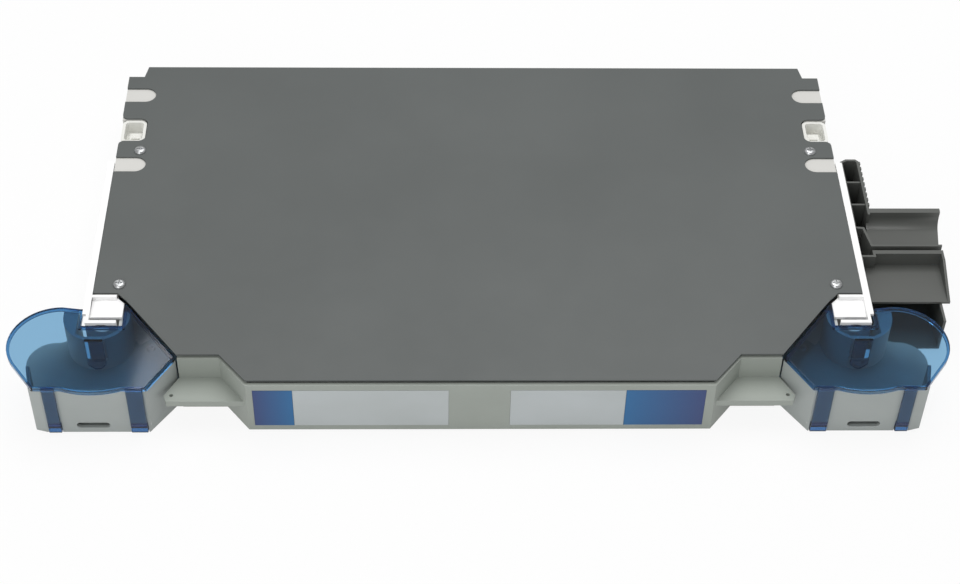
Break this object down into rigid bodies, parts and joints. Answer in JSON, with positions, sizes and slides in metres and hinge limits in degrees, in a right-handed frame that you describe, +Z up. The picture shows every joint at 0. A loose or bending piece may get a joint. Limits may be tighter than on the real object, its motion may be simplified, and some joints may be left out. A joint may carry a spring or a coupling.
{
  "type": "rack fibre splice shelf",
  "caption": "Rack-mount fibre splice shelf with a pull-out drawer of splices and adapters, corner bend guides under blue flip lids, and a side cord trough.",
  "frame": {"origin": "centre of the pan's underside, halfway along the depth", "axes": "+X to the right seen from the front, +Y from the drawer front to the rear, +Z up"},
  "size_m": [0.5915, 0.299, 0.0458],
  "materials": {
    "cover_paint": "dark grey powder coat",
    "pan_paint": "pale grey powder coat",
    "bracket_paint": "white powder coat",
    "front_moulding": "warm grey moulding",
    "guide_moulding": "pale grey moulding",
    "trough_moulding": "charcoal moulding",
    "lid_blue": "clear blue",
    "clamp_white": "off-white",
    "zinc": "zinc plated",
    "strip_white": "satin",
    "tab_blue": "satin",
    "adapter_blue": "satin",
    "natural_plastic": "natural",
    "clear_plastic": "clear"
  },
  "bodies": {
    "shelf": {"base_pan": "pan_paint", "top_cover": "cover_paint", "cover_screws": "zinc", "left_cable_clamp": "clamp_white", "right_cable_clamp": "clamp_white", "clamp_screws": "zinc", "left_guide_box": "guide_moulding", "right_guide_box": "guide_moulding", "left_bend_drum": "guide_moulding", "right_bend_drum": "guide_moulding", "guide_screws": "zinc", "left_hinge_pins": "zinc", "right_hinge_pins": "zinc", "left_rack_bracket": "bracket_paint", "right_rack_bracket": "bracket_paint", "bracket_screws": "zinc", "trough_chute": "trough_moulding", "trough_box": "trough_moulding", "trough_screws": "zinc", "left_runner": "zinc", "right_runner": "zinc"},
    "drawer": {"drawer_tray": "pan_paint", "drawer_front": "front_moulding", "front_screws": "zinc", "left_name_strip": "strip_white", "right_name_strip": "strip_white", "left_colour_tab": "tab_blue", "right_colour_tab": "tab_blue", "left_slide": "zinc", "right_slide": "zinc", "adapter_plate": "pan_paint", "adapters": "adapter_blue", "dust_caps": "natural_plastic", "splice_cassette": "natural_plastic", "cassette_lid": "clear_plastic", "splice_combs": "tab_blue", "splice_sleeves": "clear_plastic", "left_slack_spool": "natural_plastic", "right_slack_spool": "natural_plastic", "fibre_clips": "natural_plastic"},
    "left_flip_lid": {"left_lid": "lid_blue"},
    "right_flip_lid": {"right_lid": "lid_blue"}
  },
  "joints": [
    {"name": "drawer_slide", "type": "slide", "parent": "shelf", "child": "drawer", "axis": [0, -1, 0], "range_m": [0, 0.15]},
    {"name": "left_lid_hinge", "type": "hinge", "parent": "shelf", "child": "left_flip_lid", "pos_m": [-0.2325, -0.146, 0.006], "axis": [1, 0, 0], "range_deg": [0, 85]},
    {"name": "right_lid_hinge", "type": "hinge", "parent": "shelf", "child": "right_flip_lid", "pos_m": [0.2325, -0.146, 0.006], "axis": [1, 0, 0], "range_deg": [0, 85]}
  ]
}
